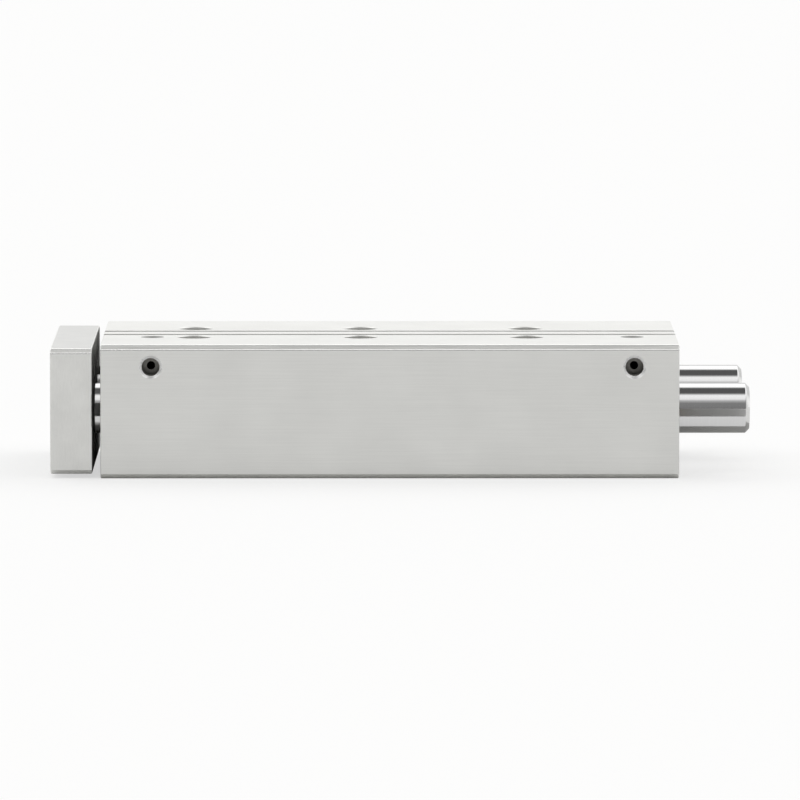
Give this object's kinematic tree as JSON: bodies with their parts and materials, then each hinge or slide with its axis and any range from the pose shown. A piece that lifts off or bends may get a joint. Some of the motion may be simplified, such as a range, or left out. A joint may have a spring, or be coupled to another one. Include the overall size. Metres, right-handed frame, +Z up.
{
  "type": "guided pneumatic cylinder",
  "caption": "Flat bored aluminium housing with a piston between two chromed guide rods that push a yoke plate straight out without turning.",
  "frame": {"origin": "centre of the housing's underside, which is the mounting face", "axes": "+X is the way the yoke plate extends, +Y is the side with the open air ports, +Z is up from the mounting face"},
  "size_m": [0.167, 0.066, 0.032],
  "materials": {
    "housing_aluminium": "clear anodised extrusion, fine satin brush along its length",
    "plate_aluminium": "clear anodised, milled and blasted satin",
    "turned_aluminium": "turned, clear anodised",
    "hard_chrome": "ground and polished hard chrome on hardened steel",
    "stainless_rod": "ground and polished stainless steel",
    "zinc_steel": "bright zinc plate",
    "plug_steel": "galvanised steel, dull",
    "spring_steel": "phosphated spring steel, dark satin",
    "sintered_bronze": "oil-filled sintered bronze, matt",
    "nitrile_rubber": "moulded nitrile, satin black",
    "seal_urethane": "moulded polyurethane, dark satin",
    "buffer_urethane": "moulded polyurethane, satin",
    "wear_polymer": "moulded acetal, matt",
    "bonded_ferrite": "plastic bonded ferrite, matt dark grey"
  },
  "bodies": {
    "housing_body": {"housing": "housing_aluminium", "front_bearing_cap": "turned_aluminium", "front_retaining_ring": "spring_steel", "front_cap_o_ring": "nitrile_rubber", "front_buffer": "buffer_urethane", "rod_bush": "sintered_bronze", "rod_seal": "seal_urethane", "rear_end_cap": "turned_aluminium", "rear_retaining_ring": "spring_steel", "rear_cap_o_ring": "nitrile_rubber", "rear_buffer": "buffer_urethane", "port_plug_front": "plug_steel", "port_plug_rear": "plug_steel", "guide_wiper_left": "nitrile_rubber", "guide_wiper_right": "nitrile_rubber", "guide_bush_front_left": "sintered_bronze", "guide_bush_front_right": "sintered_bronze", "guide_bush_rear_left": "sintered_bronze", "guide_bush_rear_right": "sintered_bronze"},
    "carriage": {"yoke_plate": "plate_aluminium", "guide_rod_left": "hard_chrome", "guide_rod_right": "hard_chrome", "piston_rod": "stainless_rod", "guide_rod_screws": "zinc_steel", "piston_rod_screw": "zinc_steel", "piston_rear_half": "turned_aluminium", "piston_front_half": "turned_aluminium", "piston_seal_rear": "seal_urethane", "piston_seal_front": "seal_urethane", "piston_magnet": "bonded_ferrite", "piston_guide_ring": "wear_polymer", "piston_nut": "zinc_steel", "piston_static_seal": "nitrile_rubber"}
  },
  "joints": [
    {"name": "stroke", "type": "slide", "parent": "housing_body", "child": "carriage", "axis": [1, 0, 0], "range_m": [0, 0.1]}
  ]
}
